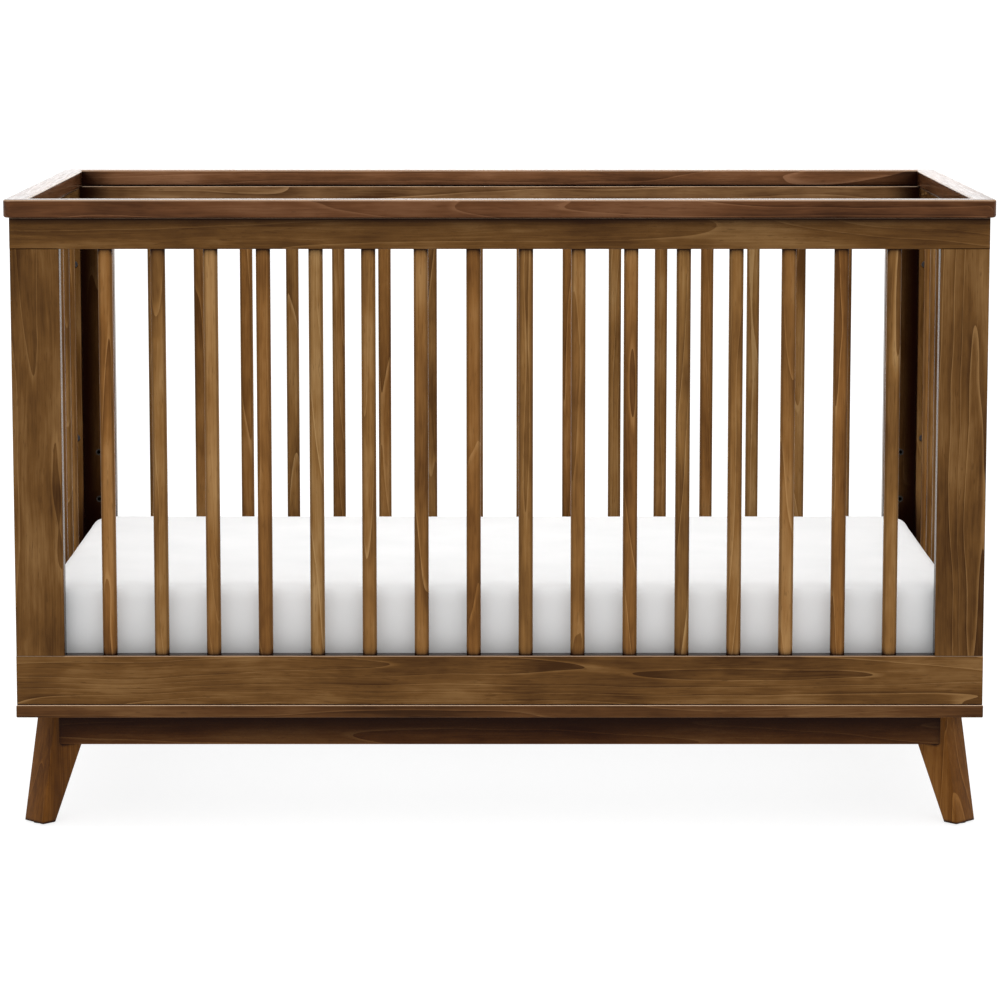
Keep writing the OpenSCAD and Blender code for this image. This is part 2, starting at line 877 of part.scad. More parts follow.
// Right end panel
module right_end_upper_rail() { color(walnut) end_upper_rail(); }
module right_end_lower_rail() { color(walnut) end_lower_rail(); }
module right_end_front_stile() { color(walnut) mirror([0, 1, 0]) end_stile(); }
module right_end_back_stile() { color(walnut) end_stile(); }
module right_end_slats() { color(walnut_light) end_slats(); }

// Caps
module front_cap() { color(walnut) mirror([0, 1, 0]) long_cap(); }
module back_cap() { color(walnut) long_cap(); }
module left_cap() { color(walnut) mirror([1, 0, 0]) end_cap(); }
module right_cap() { color(walnut) end_cap(); }

// Base frame, aprons and legs
module front_base_board() { color(walnut) mirror([0, 1, 0]) long_base_board(); }
module back_base_board() { color(walnut) long_base_board(); }
module left_base_board() { color(walnut) mirror([1, 0, 0]) end_base_board(); }
module right_base_board() { color(walnut) end_base_board(); }
module front_apron() { color(walnut_dark) mirror([0, 1, 0]) long_apron(); }
module back_apron() { color(walnut_dark) long_apron(); }
module left_apron() { color(walnut_dark) mirror([1, 0, 0]) end_apron(); }
module right_apron() { color(walnut_dark) end_apron(); }
module front_left_leg() { color(walnut) mirror([1, 0, 0]) mirror([0, 1, 0]) leg(); }
module front_right_leg() { color(walnut) mirror([0, 1, 0]) leg(); }
module back_left_leg() { color(walnut) mirror([1, 0, 0]) leg(); }
module back_right_leg() { color(walnut) leg(); }
module foot_glides() { color(grey_felt) four_corners() glide(); }

// Dowels, bolts, screws and inserts
module cap_dowels() {
    color(beech) {
        both_sides() long_cap_dowels(0, 0);
        both_ends() end_cap_dowels(0, 0);
    }
}
module panel_dowels() { color(beech) four_corners() stile_dowels(0, 0); }
module end_panel_dowels() { color(beech) four_corners() end_rail_dowels(0, 0); }
module corner_bolts() { color(steel) four_corners() corner_bolt_set(); }
module corner_inserts() { color(dark_steel) four_corners() corner_insert_set(); }
module base_bolts() { color(steel) at_base_bolts() base_bolt(); }
module base_inserts() { color(dark_steel) at_base_bolts() base_insert(); }
module leg_bolts() { color(steel) four_corners() at_leg_bolts() leg_bolt(); }
module leg_inserts() { color(dark_steel) four_corners() at_leg_bolts() leg_insert(); }
module apron_screws() {
    color(steel) {
        both_sides() at_long_apron_screws() apron_screw();
        both_ends() at_end_apron_screws() apron_screw();
    }
}
module support_bolts() { color(steel) four_corners() support_bolt(); }
module support_inserts() { color(dark_steel) four_corners() support_insert_set(); }

// Mattress support
module support_front_tube() { color(grey_paint) mirror([0, 1, 0]) long_tube(); }
module support_back_tube() { color(grey_paint) long_tube(); }
module support_left_tube() { color(grey_paint) mirror([1, 0, 0]) end_tube(); }
module support_right_tube() { color(grey_paint) end_tube(); }
module support_crossbars() { color(grey_paint) crossbars(); }
module hanger_brackets() { color(grey_paint) four_corners() hanger_bracket(); }
module deck_long_wires() { color(steel) long_wires(); }
module deck_cross_wires() { color(steel) cross_wires(); }
module deck_springs() { color(steel) both_ends() end_springs(); }

// Mattress
module mattress() { color(white_cloth) mattress_block(); }

front_upper_rail();
front_lower_rail();
front_left_stile();
front_right_stile();
front_slats();
back_upper_rail();
back_lower_rail();
back_left_stile();
back_right_stile();
back_slats();
left_end_upper_rail();
left_end_lower_rail();
left_end_front_stile();
left_end_back_stile();
left_end_slats();
right_end_upper_rail();
right_end_lower_rail();
right_end_front_stile();
right_end_back_stile();
right_end_slats();
front_cap();
back_cap();
left_cap();
right_cap();
front_base_board();
back_base_board();
left_base_board();
right_base_board();
front_apron();
back_apron();
left_apron();
right_apron();
front_left_leg();
front_right_leg();
back_left_leg();
back_right_leg();
foot_glides();
cap_dowels();
panel_dowels();
end_panel_dowels();
corner_bolts();
corner_inserts();
base_bolts();
base_inserts();
leg_bolts();
leg_inserts();
apron_screws();
support_bolts();
support_inserts();
support_front_tube();
support_back_tube();
support_left_tube();
support_right_tube();
support_crossbars();
hanger_brackets();
deck_long_wires();
deck_cross_wires();
deck_springs();
mattress();
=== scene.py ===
import json
import math

import bpy
import numpy as np
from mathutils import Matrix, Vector


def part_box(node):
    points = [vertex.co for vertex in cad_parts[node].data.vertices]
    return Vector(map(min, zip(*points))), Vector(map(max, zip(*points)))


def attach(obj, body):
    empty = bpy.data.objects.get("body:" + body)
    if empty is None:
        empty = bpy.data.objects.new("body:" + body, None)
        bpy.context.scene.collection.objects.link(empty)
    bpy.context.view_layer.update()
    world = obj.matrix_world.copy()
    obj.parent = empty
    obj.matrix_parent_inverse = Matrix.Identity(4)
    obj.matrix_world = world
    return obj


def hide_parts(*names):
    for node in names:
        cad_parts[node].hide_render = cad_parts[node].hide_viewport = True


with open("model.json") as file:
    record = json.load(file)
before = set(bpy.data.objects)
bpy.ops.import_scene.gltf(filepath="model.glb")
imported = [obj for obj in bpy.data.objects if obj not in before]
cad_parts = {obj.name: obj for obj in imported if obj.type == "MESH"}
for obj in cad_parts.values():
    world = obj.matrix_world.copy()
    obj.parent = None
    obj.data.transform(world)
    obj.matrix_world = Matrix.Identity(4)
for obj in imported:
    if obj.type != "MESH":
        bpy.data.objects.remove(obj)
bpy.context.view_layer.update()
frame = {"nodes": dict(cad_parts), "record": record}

MM = 0.001
NODES = frame["nodes"]
SLOT_OF = {part["node"]: part["material_slot"] for part in frame["record"]["subparts"]}
X, Y, Z = 0, 1, 2
AXIS_NAMES = "xyz"
NEAR = 0.01 * MM

# The camera stands in front of the crib, a little above its caps
CAMERA_PLACE = (0.0, -5.4634, 1.2113)
CAMERA_TILT = 7.374
CAMERA_LENS = 133.2
CAMERA_SHIFT = (0.0003, -0.06)
CAMERA_SENSOR = 36

# Sizes of the hand-shaped pieces that their CAD boxes do not give
CAP_WIDTH = 30 * MM
CAP_CORNER_RADIUS = 16 * MM
CAP_CORNER_SEGMENTS = 10
CAP_ARRIS = 3 * MM
CAP_ARRIS_SEGMENTS = 4
MITRE_GAP = 0.12 * MM
SLAT_EDGE_RADIUS = 6 * MM
SLAT_EDGE_SEGMENTS = 5
TENON_LENGTH = 12 * MM
TENON_SIZE = (14 * MM, 9 * MM)
TENON_INSET = 3 * MM
LEG_WIDTH = 42.5 * MM
LEG_FOOT = 23 * MM
LEG_OUTER_ANGLE = math.radians(10)
LEG_INNER_ANGLE = math.radians(25)
LEG_ARRIS = 2.5 * MM
LEG_ARRIS_SEGMENTS = 4
LEG_FOOT_ARRIS = 0.8 * MM
LEG_FOOT_SEGMENTS = 2
SPRING_WIRE = 0.9 * MM
SPRING_WIRE_SIDES = 8
SPRING_TURNS = 9
SPRING_STEPS = 14

# The mattress starts a little smaller than its CAD box, because its cover swells
MATTRESS_CORNER = 45 * MM
MATTRESS_CORNER_SEGMENTS = 10
MATTRESS_EDGE = 17 * MM
MATTRESS_EDGE_SEGMENTS = 6
MATTRESS_SHY = 4 * MM
MATTRESS_VOXEL = 10.5 * MM
MATTRESS_SWELL = 5 * MM
COVER_PRESSURE = 4.0
COVER_STIFFNESS = 20.0
COVER_FRAMES = 20
COVER_SMOOTHING = 3

# How far slats differ in tone, and the share that spreads their tones and warmths evenly
SLAT_TONE_SPREAD = 0.20
GOLDEN = 0.6180339887
WARMTH_STRIDE = 3.7

# The surround's light: everywhere, and as glows, each with a direction, a narrowness and a strength
ROOM_GLOW = 0.445
GLOWS = [((0.0, -0.42, 0.90), 3.0, 1.45),
         ((0.0, 1.0, 0.10), 18.0, 2.1)]
SUN_STRENGTH = 1.3
SUN_WIDTH = 8
SUN_TILT = 2
SEEN_WHITE = 1.05
FLOOR_SIZE = 400
FLOOR_GLOW = 0.79

# Stained walnut: colour of its dark, middle and pale grain
PANEL_TONES = ((0.044, 0.017, 0.004), (0.120, 0.054, 0.014), (0.222, 0.118, 0.042))
BASE_TONES = ((0.034, 0.013, 0.004), (0.086, 0.035, 0.011), (0.155, 0.076, 0.028))
CAP_TONES = ((0.044, 0.016, 0.006), (0.108, 0.042, 0.016), (0.180, 0.082, 0.038))
LEG_TONES = ((0.054, 0.018, 0.003), (0.130, 0.047, 0.007), (0.222, 0.094, 0.021))
# The back rail and back cap get lighter copies of the walnut: painted light, standing in for the stronger
# light on their inner faces
BACK_LIT_TONES = ((0.072, 0.030, 0.010), (0.185, 0.095, 0.038), (0.320, 0.185, 0.085))
BACK_CAP_LIT_TONES = ((0.068, 0.027, 0.011), (0.162, 0.068, 0.028), (0.270, 0.130, 0.064))
APRON_TONES = ((0.056, 0.017, 0.004), (0.140, 0.052, 0.012), (0.240, 0.110, 0.034))
SLAT_TONES = ((0.090, 0.039, 0.010), (0.208, 0.103, 0.030), (0.325, 0.193, 0.078))
# Painted shade that darkens corners, and a painted highlight on upward-facing arrises
CORNER_SHADE_TONE = (0.010, 0.002, 0.0006)
ARRIS_HIGHLIGHT_TONE = (0.52, 0.36, 0.24)
WARM_TINT = (1.0, 0.86, 0.72)

# Grain of the walnut: how its lines run, and how strongly each kind of mark shows
GRAIN_WANDER = 22 * MM
GROWTH_LINES = 15.0
PALE_LINE = 0.42
DARK_LINE = 0.24
STREAK = 0.11
FIBRE = 0.10
PORE = 0.40
# Painted shade on the rounded edges of the slats
SLAT_EDGE_SHADE = 0.5
LACQUER_IOR = 1.13
GRAIN_DEPTH = 0.06 * MM

# How much darker the clouds in metal and paint are, and the pitch of the mattress cover's weave
METAL_CLOUD = 0.82
PAINT_CLOUD = 0.88
WEAVE_PITCH = 160.0


# ---------- Helpers for shaping by hand ----------

def deselect_all():
    if bpy.context.object and bpy.context.object.mode != "OBJECT":
        bpy.ops.object.mode_set(mode="OBJECT")
    bpy.ops.object.select_all(action="DESELECT")


def make_active(piece):
    deselect_all()
    piece.select_set(True)
    bpy.context.view_layer.objects.active = piece


def add_block(name, low, high):
    """A cube between two corners, with its place in its mesh."""
    deselect_all()
    low, high = Vector(low), Vector(high)
    bpy.ops.mesh.primitive_cube_add(size=1, location=(low + high) / 2, scale=high - low)
    piece = bpy.context.object
    piece.name = piece.data.name = name
    settle(piece)
    return piece


def settle(piece):
    """Puts the piece's place, turn and size into its mesh."""
    make_active(piece)
    bpy.ops.object.transform_apply(location=True, rotation=True, scale=True)


def pick_edges(piece, wanted):
    """Selects the edges whose two ends pass the test, and enters edit mode."""
    make_active(piece)
    bpy.ops.object.mode_set(mode="EDIT")
    bpy.ops.mesh.select_mode(type="EDGE")
    bpy.ops.mesh.select_all(action="DESELECT")
    bpy.ops.object.mode_set(mode="OBJECT")
    points = piece.data.vertices
    for edge in piece.data.edges:
        edge.select = bool(wanted(points[edge.vertices[0]].co, points[edge.vertices[1]].co))
    bpy.ops.object.mode_set(mode="EDIT")


def pick_faces(piece, wanted):
    """Selects the faces whose middle and normal pass the test, and enters edit mode."""
    make_active(piece)
    bpy.ops.object.mode_set(mode="EDIT")
    bpy.ops.mesh.select_mode(type="FACE")
    bpy.ops.mesh.select_all(action="DESELECT")
    bpy.ops.object.mode_set(mode="OBJECT")
    for face in piece.data.polygons:
        face.select = bool(wanted(face.center, face.normal))
    bpy.ops.object.mode_set(mode="EDIT")


def leave_edit():
    bpy.ops.object.mode_set(mode="OBJECT")


def upright(a, b):
    """True for an edge that rises."""
    return abs(a.z - b.z) > MM


def level(a, b):
    """True for an edge that doesn't."""
    return abs(a.z - b.z) < NEAR


def bevel_edges(piece, wanted, width, segments):
    pick_edges(piece, wanted)
    bpy.ops.mesh.bevel(offset=width, segments=segments, profile=0.5, affect="EDGES", clamp_overlap=True)
    leave_edit()


def face_outwards(piece):
    make_active(piece)
    bpy.ops.object.mode_set(mode="EDIT")
    bpy.ops.mesh.select_all(action="SELECT")
    bpy.ops.mesh.remove_doubles(threshold=NEAR)
    bpy.ops.mesh.normals_make_consistent(inside=False)
    leave_edit()


def smooth(piece, angle=50):
    make_active(piece)
    bpy.ops.object.shade_smooth_by_angle(angle=math.radians(angle))


def apply_modifiers(piece):
    make_active(piece)
    for modifier in list(piece.modifiers):
        bpy.ops.object.modifier_apply(modifier=modifier.name)


def copy_of(piece, name):
    """A copy with its own mesh."""
    twin = piece.copy()
    twin.data = piece.data.copy()
    twin.name = twin.data.name = name
    bpy.context.scene.collection.objects.link(twin)
    return twin


def shift(piece, offset):
    """Moves the piece's mesh, and leaves its object at the origin."""
    make_active(piece)
    bpy.ops.transform.translate(value=offset)
    bpy.ops.object.transform_apply(location=True, rotation=True, scale=True)


def turn(piece, angle):
    """Turns the piece's mesh about the upright axis through the origin."""
    make_active(piece)
    bpy.ops.transform.rotate(value=-angle, orient_axis="Z", center_override=(0, 0, 0))
    bpy.ops.object.transform_apply(location=True, rotation=True, scale=True)


def solid_boxes(node):
    """Boxes of the separate solids in a CAD node."""
    mesh = NODES[node].data
    points = np.array([v.co for v in mesh.vertices])
    keys = [tuple(row) for row in np.round(points, 6)]
    first = {}
    chief = [first.setdefault(key, i) for i, key in enumerate(keys)]
    parent = list(range(len(points)))

    def root(i):
        while parent[i] != i:
            parent[i] = parent[parent[i]]
            i = parent[i]
        return i

    for face in mesh.polygons:
        corners = [root(chief[i]) for i in face.vertices]
        for other in corners[1:]:
            parent[root(other)] = root(corners[0])
    groups = {}
    for i in range(len(points)):
        groups.setdefault(root(chief[i]), []).append(i)
    boxes = [(Vector(points[g].min(0)), Vector(points[g].max(0))) for g in groups.values()]
    return sorted(boxes, key=lambda box: tuple(round(value, 4) for value in box[0]))


def paint(piece, name, value):
    """Gives every point of a piece the same value, which its material reads."""
    layer = piece.data.attributes.new(name, "FLOAT", "POINT")
    layer.data.foreach_set("value", [value] * len(piece.data.vertices))


def fit_out(piece, node, material, body="frame"):
    """Gives a new piece its finish, hides the CAD node it stands for and attaches the piece to the body it
    moves with.
    """
    piece.data.materials.clear()
    piece.data.materials.append(material)
    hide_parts(node)
    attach(piece, body)


# ---------- Helpers for materials ----------

class Finish:
    """A material under construction: its node tree, with short ways to add and join nodes."""

    def __init__(self, name):
        self.material = bpy.data.materials.new(name)
        self.material.use_nodes = True
        self.tree = self.material.node_tree
        self.shader = self.tree.nodes["Principled BSDF"]
        self.coordinates = self.tree.nodes.new("ShaderNodeTexCoord").outputs["Object"]

    def join(self, source, socket):
        if hasattr(source, "is_linked"):
            self.tree.links.new(source, socket)
        else:
            socket.default_value = source

    def mapping(self, scale, location=(0, 0, 0), rotation=(0, 0, 0), vector=None):
        node = self.tree.nodes.new("ShaderNodeMapping")
        self.tree.links.new(vector or self.coordinates, node.inputs["Vector"])
        node.inputs["Scale"].default_value = scale
        node.inputs["Location"].default_value = location
        node.inputs["Rotation"].default_value = rotation
        return node.outputs["Vector"]

    def noise(self, vector, scale, detail=2.0, roughness=0.5, distortion=0.0, output="Fac"):
        node = self.tree.nodes.new("ShaderNodeTexNoise")
        self.tree.links.new(vector, node.inputs["Vector"])
        node.inputs["Scale"].default_value = scale
        node.inputs["Detail"].default_value = detail
        node.inputs["Roughness"].default_value = roughness
        node.inputs["Distortion"].default_value = distortion
        return node.outputs[output]

    def math(self, operation, first, second=0.0, clamp=False):
        node = self.tree.nodes.new("ShaderNodeMath")
        node.operation = operation
        node.use_clamp = clamp
        self.join(first, node.inputs[0])
        self.join(second, node.inputs[1])
        return node.outputs[0]

    def vector_math(self, operation, first, second):
        node = self.tree.nodes.new("ShaderNodeVectorMath")
        node.operation = operation
        self.join(first, node.inputs[0])
        self.join(second, node.inputs[1])
        return node.outputs[0]

    def spread(self, value, from_low, from_high, to_low=0.0, to_high=1.0, smooth=False):
        """Maps a range of values to another range."""
        node = self.tree.nodes.new("ShaderNodeMapRange")
        node.interpolation_type = "SMOOTHSTEP" if smooth else "LINEAR"
        self.join(value, node.inputs["Value"])
        node.inputs["From Min"].default_value = from_low
        node.inputs["From Max"].default_value = from_high
        node.inputs["To Min"].default_value = to_low
        node.inputs["To Max"].default_value = to_high
        return node.outputs["Result"]

    def ramp(self, value, stops):
        node = self.tree.nodes.new("ShaderNodeValToRGB")
        self.join(value, node.inputs["Fac"])
        elements = node.color_ramp.elements
        while len(elements) < len(stops):
            elements.new(0.5)
        for element, (place, colour) in zip(elements, stops):
            element.position = place
            element.color = (*colour, 1)
        return node.outputs["Color"]

    def mix(self, share, first, second, blend="MIX"):
        node = self.tree.nodes.new("ShaderNodeMix")
        node.data_type = "RGBA"
        node.blend_type = blend
        self.join(share, node.inputs["Factor"])
        self.join(first if hasattr(first, "is_linked") else (*first, 1), node.inputs["A"])
        self.join(second if hasattr(second, "is_linked") else (*second, 1), node.inputs["B"])
        return node.outputs["Result"]

    def attribute(self, name):
        node = self.tree.nodes.new("ShaderNodeAttribute")
        node.attribute_name = name
        return node.outputs["Fac"]

    def arrises(self, upward=True):
        """A factor that is one on an eased edge between two square faces, or only where it looks up."""
        split = self.tree.nodes.new("ShaderNodeSeparateXYZ")
        self.tree.links.new(self.tree.nodes.new("ShaderNodeNewGeometry").outputs["Normal"], split.inputs[0])
        squares = [self.math("POWER", part, 2.0) for part in split.outputs]
        steepest = self.math("MAXIMUM", self.math("MAXIMUM", squares[0], squares[1]), squares[2])
        eased = self.spread(steepest, 0.96, 0.65, smooth=True)
        return self.math("MULTIPLY", eased, self.spread(split.outputs["Z"], 0.15, 0.5)) if upward else eased

    def corners(self, reach):
        """A factor for painted corner shade, from ambient occlusion: it falls from one in the open to nothing
        deep in a corner.
        """
        node = self.tree.nodes.new("ShaderNodeAmbientOcclusion")
        node.samples = 8
        node.inputs["Distance"].default_value = reach
        return self.spread(self.math("POWER", node.outputs["AO"], 7.0), 0.04, 0.75)

    def bump(self, height, strength, distance, normal=None):
        node = self.tree.nodes.new("ShaderNodeBump")
        self.tree.links.new(height, node.inputs["Height"])
        node.inputs["Strength"].default_value = strength
        node.inputs["Distance"].default_value = distance
        if normal:
            self.tree.links.new(normal, node.inputs["Normal"])
        return node.outputs["Normal"]

    def set(self, **values):
        """Sets sockets of the shader, with _ for a space in their names."""
        for name, value in values.items():
            self.join(value, self.shader.inputs[name.replace("_", " ")])


# ---------- Materials ----------

def walnut(name, grain, tones, offset=(0, 0, 0), varied=False, rubbed=0.6, reach=0.055):
    """Stained walnut under satin lacquer, with its grain along one axis.

    varied is for slats, which carry a tone and a warmth each and get painted shade on their rounded edges.
    rubbed is how pale the painted highlight makes the upper arrises, and reach is how far the painted shade
    of a corner spreads.
    """
    dark, middle, pale = tones
    f = Finish(name)

    def along(stretch):
        scale = [1.0, 1.0, 1.0]
        scale[grain] = stretch
        return scale

    # Slow wander, so that the grain lines run in waves
    wander = f.noise(f.mapping(along(0.45), offset), 6.0, 2.0, output="Color")
    wander = f.vector_math("SUBTRACT", wander, (0.5, 0.5, 0.5))
    wander = f.vector_math("MULTIPLY", wander, (GRAIN_WANDER, GRAIN_WANDER, GRAIN_WANDER))
    place = f.vector_math("ADD", f.mapping((1, 1, 1), offset), wander)

    # Growth lines: contours of a long smooth field, dark on one side and pale on the other
    field = f.noise(f.mapping(along(0.065), vector=place), 12.0, 1.0, 0.4)
    ring = f.math("FRACT", f.math("MULTIPLY", field, GROWTH_LINES))
    ring_dark = f.math("POWER", ring, 5.0)
    ring_pale = f.spread(ring, 0.0, 0.10, 1.0, 0.0, smooth=True)
    shown = f.noise(f.mapping(along(0.35), vector=place), 4.5, 1.0)
    shown = f.spread(shown, 0.40, 0.62, 0.55, 1.0, smooth=True)

    # Blotches of stain, streaks of a few millimetres, fine fibres and short pores
    blotches = f.noise(f.mapping(along(0.40), vector=place), 11.0, 4.0, 0.6)
    streaks = f.noise(f.mapping(along(0.05), vector=place), 120.0, 3.0, 0.6)
    fibres = f.noise(f.mapping(along(0.03), vector=place), 480.0, 3.0, 0.65)
    pores = f.noise(f.mapping(along(0.10), vector=place), 560.0, 1.0)
    pores = f.spread(pores, 0.64, 0.74, smooth=True)

    value = f.spread(blotches, 0.25, 0.75, 0.08, 0.92)
    value = f.math("ADD", value, f.spread(streaks, 0.3, 0.7, -STREAK, STREAK))
    value = f.math("ADD", value, f.spread(fibres, 0.3, 0.7, -FIBRE, FIBRE))
    pale_lines = f.math("MULTIPLY", ring_pale, PALE_LINE)
    lines = f.math("SUBTRACT", pale_lines, f.math("MULTIPLY", ring_dark, DARK_LINE))
    value = f.math("ADD", value, f.math("MULTIPLY", lines, shown))
    if varied:
        value = f.math("ADD", value, f.attribute("tone"))
    colour = f.ramp(value, [(0.10, dark), (0.50, middle), (0.92, pale)])
    if varied:
        colour = f.mix(f.attribute("warmth"), colour, f.mix(1.0, colour, WARM_TINT, "MULTIPLY"))
        # Painted shade darkening the rounded edges of each slat
        colour = f.mix(f.math("MULTIPLY", f.arrises(upward=False), SLAT_EDGE_SHADE), colour, dark)
    colour = f.mix(f.math("MULTIPLY", pores, PORE), colour, dark)

    # Painted shade that darkens the corners, and a painted highlight that lightens the upward-facing arrises
    colour = f.mix(f.corners(reach), CORNER_SHADE_TONE, colour)
    colour = f.mix(f.math("MULTIPLY", f.arrises(), rubbed), colour, ARRIS_HIGHLIGHT_TONE)

    roughness = f.spread(fibres, 0.3, 0.7, 0.16, 0.27)
    relief = f.math("SUBTRACT", fibres, f.math("MULTIPLY", pores, 0.8))
    f.set(Base_Color=colour, Roughness=roughness, IOR=LACQUER_IOR, Normal=f.bump(relief, 0.15, GRAIN_DEPTH))
    return f.material


def beech(name):
    """Bare wood of the dowels."""
    f = Finish(name)
    fibres = f.noise(f.mapping((1, 1, 0.1)), 500.0, 2.0)
    f.set(Base_Color=f.ramp(fibres, [(0.3, (0.50, 0.33, 0.18)), (0.7, (0.66, 0.48, 0.28))]), Roughness=0.7,
          Normal=f.bump(fibres, 0.2, 0.1 * MM))
    return f.material


def metal(name, colour, roughness, grain=600.0):
    """Bare or plated metal with a slightly uneven surface."""
    f = Finish(name)
    cloud = f.noise(f.coordinates, 60.0, 3.0)
    fine = f.noise(f.coordinates, grain, 2.0)
    shade = f.mix(f.spread(cloud, 0.3, 0.7), tuple(c * METAL_CLOUD for c in colour), colour)
    rough = f.spread(fine, 0.3, 0.7, roughness - 0.06, roughness + 0.08)
    f.set(Base_Color=shade, Metallic=1.0, Roughness=rough, Normal=f.bump(fine, 0.08, 0.05 * MM))
    return f.material


def powder_coat(name, colour):
    """Fine orange-peel paint on the steel support."""
    f = Finish(name)
    peel = f.noise(f.coordinates, 900.0, 2.0)
    cloud = f.noise(f.coordinates, 25.0, 2.0)
    shade = f.mix(f.spread(cloud, 0.3, 0.7), tuple(c * PAINT_CLOUD for c in colour), colour)
    f.set(Base_Color=shade, Roughness=f.spread(peel, 0.3, 0.7, 0.42, 0.55), IOR=1.45,
          Normal=f.bump(peel, 0.25, 0.08 * MM))
    return f.material


def felt(name):
    """Grey pressed felt of the glides."""
    f = Finish(name)
    fluff = f.noise(f.coordinates, 1400.0, 4.0, 0.7)
    f.set(Base_Color=f.ramp(fluff, [(0.3, (0.06, 0.055, 0.05)), (0.7, (0.16, 0.15, 0.14))]), Roughness=0.95,
          Sheen_Weight=0.3, Normal=f.bump(fluff, 0.6, 0.4 * MM))
    return f.material


def cover_cloth(name):
    """Smooth white woven cover of the mattress."""
    f = Finish(name)
    threads = []
    for axis in (X, Y, Z):
        node = f.tree.nodes.new("ShaderNodeTexWave")
        f.tree.links.new(f.coordinates, node.inputs["Vector"])
        node.bands_direction = AXIS_NAMES[axis].upper()
        node.wave_profile = "SIN"
        node.inputs["Scale"].default_value = WEAVE_PITCH
        node.inputs["Distortion"].default_value = 0.6
        node.inputs["Detail"].default_value = 1.0
        threads.append(node.outputs["Fac"])
    weave = f.math("MULTIPLY", f.math("MULTIPLY", threads[0], threads[1]), threads[2])
    slubs = f.noise(f.mapping((1, 0.2, 1)), 300.0, 2.0)
    soft = f.noise(f.coordinates, 9.0, 3.0)
    shade = f.mix(f.spread(soft, 0.3, 0.7), (0.80, 0.81, 0.815), (0.85, 0.855, 0.86))
    shade = f.mix(f.math("MULTIPLY", weave, 0.12), shade, (0.72, 0.73, 0.74))
    height = f.math("ADD", weave, f.math("MULTIPLY", slubs, 0.5))
    f.set(Base_Color=shade, Roughness=f.spread(slubs, 0.3, 0.7, 0.78, 0.92), IOR=1.35, Sheen_Weight=0.15,
          Normal=f.bump(height, 0.2, 0.2 * MM))
    return f.material


def pale_floor():
    """A pale floor that gives some light itself, so that the shadow on it stays faint."""
    f = Finish("pale_floor")
    cloud = f.noise(f.coordinates, 0.8, 2.0)
    shade = f.mix(f.spread(cloud, 0.3, 0.7), (0.29, 0.29, 0.29), (0.31, 0.31, 0.31))
    f.set(Base_Color=shade, Roughness=0.9, IOR=1.2, Emission_Color=(1, 1, 1, 1), Emission_Strength=FLOOR_GLOW)
    return f.material


def walnut_along(axes, name, tones, **options):
    """The same walnut with its grain along each of several axes."""
    return {axis: walnut(f"{name}_{AXIS_NAMES[axis]}", axis, tones, **options) for axis in axes}


# reach sets how far each walnut's painted corner shade spreads; the apron's wide reach paints the shade under
# the base board
WALNUT = walnut_along((X, Y, Z), "walnut", PANEL_TONES)
CAP_WALNUT = walnut_along((X, Y), "cap_walnut", CAP_TONES, offset=(0.31, 0.17, 0.43))
BACK_LIT_WALNUT = walnut_along((X,), "back_lit_walnut", BACK_LIT_TONES, offset=(0.15, 0.65, 0.35))
BACK_CAP_LIT_WALNUT = walnut_along((X,), "back_cap_lit_walnut", BACK_CAP_LIT_TONES, offset=(0.62, 0.28, 0.21))
APRON_WALNUT = walnut_along((X, Y), "apron_walnut", APRON_TONES, offset=(0.5, 0.8, 0.2),
                            rubbed=0.0, reach=0.12)
BASE_WALNUT = walnut_along((X, Y), "base_walnut", BASE_TONES, offset=(0.5, 0.8, 0.2), rubbed=0.9)
SLAT_WALNUT = walnut("slat_walnut", Z, SLAT_TONES, (0.2, 0.5, 0.1), varied=True, rubbed=0.0, reach=0.012)
LEG_WALNUT = walnut("leg_walnut", Z, LEG_TONES, (0.7, 0.3, 0.9), rubbed=0.0, reach=0.006)
CLOTH = cover_cloth("mattress_cover")
SPRING_STEEL = metal("zinc_plated_steel", (0.62, 0.62, 0.63), 0.32)
HARDWARE = {
    "beech_dowel": beech("beech"),
    "bolt_steel": metal("black_oxide_steel", (0.07, 0.07, 0.075), 0.42),
    "screw_zinc": metal("yellow_zinc", (0.62, 0.58, 0.42), 0.34),
    "insert_steel": metal("black_insert_steel", (0.06, 0.055, 0.05), 0.5),
    "support_paint": powder_coat("grey_powder_coat", (0.30, 0.31, 0.32)),
    "deck_wire": powder_coat("grey_wire_coat", (0.34, 0.35, 0.36)),
    "spring_steel": SPRING_STEEL,
    "glide_felt": felt("pressed_felt"),
    "mattress_cloth": CLOTH,
}


# ---------- Boards and hardware that keep their CAD shape ----------

def grain_of(node):
    """Axis of a board's grain: the longest side of its box."""
    low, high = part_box(node)
    return max((X, Y, Z), key=lambda axis: high[axis] - low[axis])


def finish_of(node):
    """The finish of a CAD node, from its slot and from the kind of board it is."""
    slot = SLOT_OF[node]
    if slot == "walnut_slats":
        return SLAT_WALNUT
    if slot != "walnut_stain":
        return HARDWARE[slot]
    if node.endswith("leg"):
        return LEG_WALNUT
    boards = WALNUT
    if node.endswith("apron"):
        boards = APRON_WALNUT
    elif node.endswith("base_board"):
        boards = BASE_WALNUT
    # The back rail takes the lighter walnut: painted light
    elif node == "back_upper_rail":
        boards = BACK_LIT_WALNUT
    return boards[grain_of(node)]


def finish_cad_nodes():
    for node, piece in NODES.items():
        material = finish_of(node)
        for place in piece.material_slots:
            place.material = material


# ---------- Caps ----------

